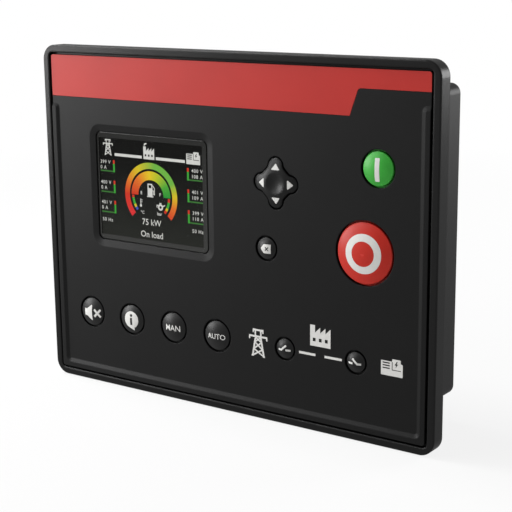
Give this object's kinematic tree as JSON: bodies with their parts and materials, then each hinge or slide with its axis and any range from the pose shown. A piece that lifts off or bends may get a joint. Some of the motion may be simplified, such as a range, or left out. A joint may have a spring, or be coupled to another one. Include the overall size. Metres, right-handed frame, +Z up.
{
  "type": "genset controller",
  "caption": "Panel-mounted generator-set controller: black frame and fascia with a colour display, domed keys and a navigation pad, and plug-in terminals on its rear housing.",
  "frame": {"origin": "centre of the panel cut-out, in the plane of the frame's bearing face", "axes": "+X to the right seen from the front, +Y through the panel to the back, +Z up"},
  "size_m": [0.242, 0.0545, 0.186],
  "materials": {
    "frame_black": "fine satin texture",
    "fascia_black": "fine satin texture",
    "band_red": "satin film",
    "lens_clear": "clear with a dark printed border",
    "display_dark": "dark display glass",
    "sheet_metal": "plain sheet",
    "ribbon_amber": "flexible film",
    "connector_ivory": "plain",
    "key_green": "satin film",
    "key_red": "satin film",
    "key_black": "satin with white print",
    "pivot_white": "polished",
    "inner_black": "plain",
    "silicone_grey": "moulded silicone",
    "board_green": "coated glass-fibre board",
    "brass": "turned",
    "screw_steel": "zinc plated",
    "chip_black": "moulded package",
    "can_blue": "sleeved can",
    "cell_steel": "pressed can",
    "housing_black": "fine satin texture",
    "seal_grey": "closed-cell foam",
    "pin_tin": "tinned",
    "port_metal": "plated shell",
    "terminal_black": "moulded",
    "terminal_green": "moulded"
  },
  "bodies": {
    "root": {"bezel": "frame_black", "face_plate": "fascia_black", "band_inlay": "band_red", "window_lens": "lens_clear", "display_glass": "display_dark", "display_frame": "sheet_metal", "display_ribbon": "ribbon_amber", "ribbon_connector": "connector_ivory", "nav_seat": "inner_black", "keypad_mat": "silicone_grey", "front_board": "board_green", "spacers": "brass", "main_board": "board_green", "board_screws": "screw_steel", "link_header": "inner_black", "link_socket": "connector_ivory", "processor": "chip_black", "relays": "inner_black", "capacitors": "can_blue", "coin_cell_holder": "inner_black", "coin_cell": "cell_steel", "rear_cover": "housing_black", "panel_gasket": "seal_grey", "case_screws": "screw_steel", "terminal_header_1": "terminal_black", "terminal_header_2": "terminal_black", "terminal_header_3": "terminal_black", "terminal_header_4": "terminal_black", "terminal_header_5": "terminal_black", "terminal_header_6": "terminal_black", "terminal_plug_1": "terminal_green", "terminal_plug_2": "terminal_green", "terminal_plug_3": "terminal_green", "terminal_plug_4": "terminal_green", "terminal_plug_5": "terminal_green", "terminal_plug_6": "terminal_green", "terminal_pins": "pin_tin", "terminal_screws": "screw_steel", "network_port": "port_metal", "serial_port": "port_metal"},
    "key_mute": {"key_mute": "key_black"},
    "key_info": {"key_info": "key_black"},
    "key_manual": {"key_manual": "key_black"},
    "key_auto": {"key_auto": "key_black"},
    "key_cancel": {"key_cancel": "key_black"},
    "key_mains_breaker": {"key_mains_breaker": "key_black"},
    "key_generator_breaker": {"key_generator_breaker": "key_black"},
    "key_start": {"key_start": "key_green"},
    "key_stop": {"key_stop": "key_red"},
    "nav_pivot": {"nav_pivot": "pivot_white"},
    "nav_key": {"nav_key": "key_black"}
  },
  "joints": [
    {"name": "key_mute_press", "type": "slide", "parent": "root", "child": "key_mute", "axis": [0, 1, 0], "range_m": [0, 0.001], "stiffness_N_per_m": 1500, "springref_m": -0.001, "deforming": ["keypad_mat"]},
    {"name": "key_info_press", "type": "slide", "parent": "root", "child": "key_info", "axis": [0, 1, 0], "range_m": [0, 0.001], "stiffness_N_per_m": 1500, "springref_m": -0.001, "deforming": ["keypad_mat"]},
    {"name": "key_manual_press", "type": "slide", "parent": "root", "child": "key_manual", "axis": [0, 1, 0], "range_m": [0, 0.001], "stiffness_N_per_m": 1500, "springref_m": -0.001, "deforming": ["keypad_mat"]},
    {"name": "key_auto_press", "type": "slide", "parent": "root", "child": "key_auto", "axis": [0, 1, 0], "range_m": [0, 0.001], "stiffness_N_per_m": 1500, "springref_m": -0.001, "deforming": ["keypad_mat"]},
    {"name": "key_cancel_press", "type": "slide", "parent": "root", "child": "key_cancel", "axis": [0, 1, 0], "range_m": [0, 0.001], "stiffness_N_per_m": 1500, "springref_m": -0.001, "deforming": ["keypad_mat"]},
    {"name": "key_mains_breaker_press", "type": "slide", "parent": "root", "child": "key_mains_breaker", "axis": [0, 1, 0], "range_m": [0, 0.001], "stiffness_N_per_m": 1500, "springref_m": -0.001, "deforming": ["keypad_mat"]},
    {"name": "key_generator_breaker_press", "type": "slide", "parent": "root", "child": "key_generator_breaker", "axis": [0, 1, 0], "range_m": [0, 0.001], "stiffness_N_per_m": 1500, "springref_m": -0.001, "deforming": ["keypad_mat"]},
    {"name": "key_start_press", "type": "slide", "parent": "root", "child": "key_start", "axis": [0, 1, 0], "range_m": [0, 0.001], "stiffness_N_per_m": 1500, "springref_m": -0.001, "deforming": ["keypad_mat"]},
    {"name": "key_stop_press", "type": "slide", "parent": "root", "child": "key_stop", "axis": [0, 1, 0], "range_m": [0, 0.001], "stiffness_N_per_m": 1500, "springref_m": -0.001, "deforming": ["keypad_mat"]},
    {"name": "nav_rock_up_down", "type": "hinge", "parent": "root", "child": "nav_pivot", "pos_m": [0.0315, -0.00315, 0.0302], "axis": [1, 0, 0], "range_deg": [-3, 3], "stiffness_Nm_per_rad": 0.1, "deforming": ["keypad_mat"]},
    {"name": "nav_rock_left_right", "type": "hinge", "parent": "nav_pivot", "child": "nav_key", "pos_m": [0.0315, -0.00315, 0.0302], "axis": [0, 0, 1], "range_deg": [-3, 3], "stiffness_Nm_per_rad": 0.1, "deforming": ["keypad_mat"]}
  ]
}
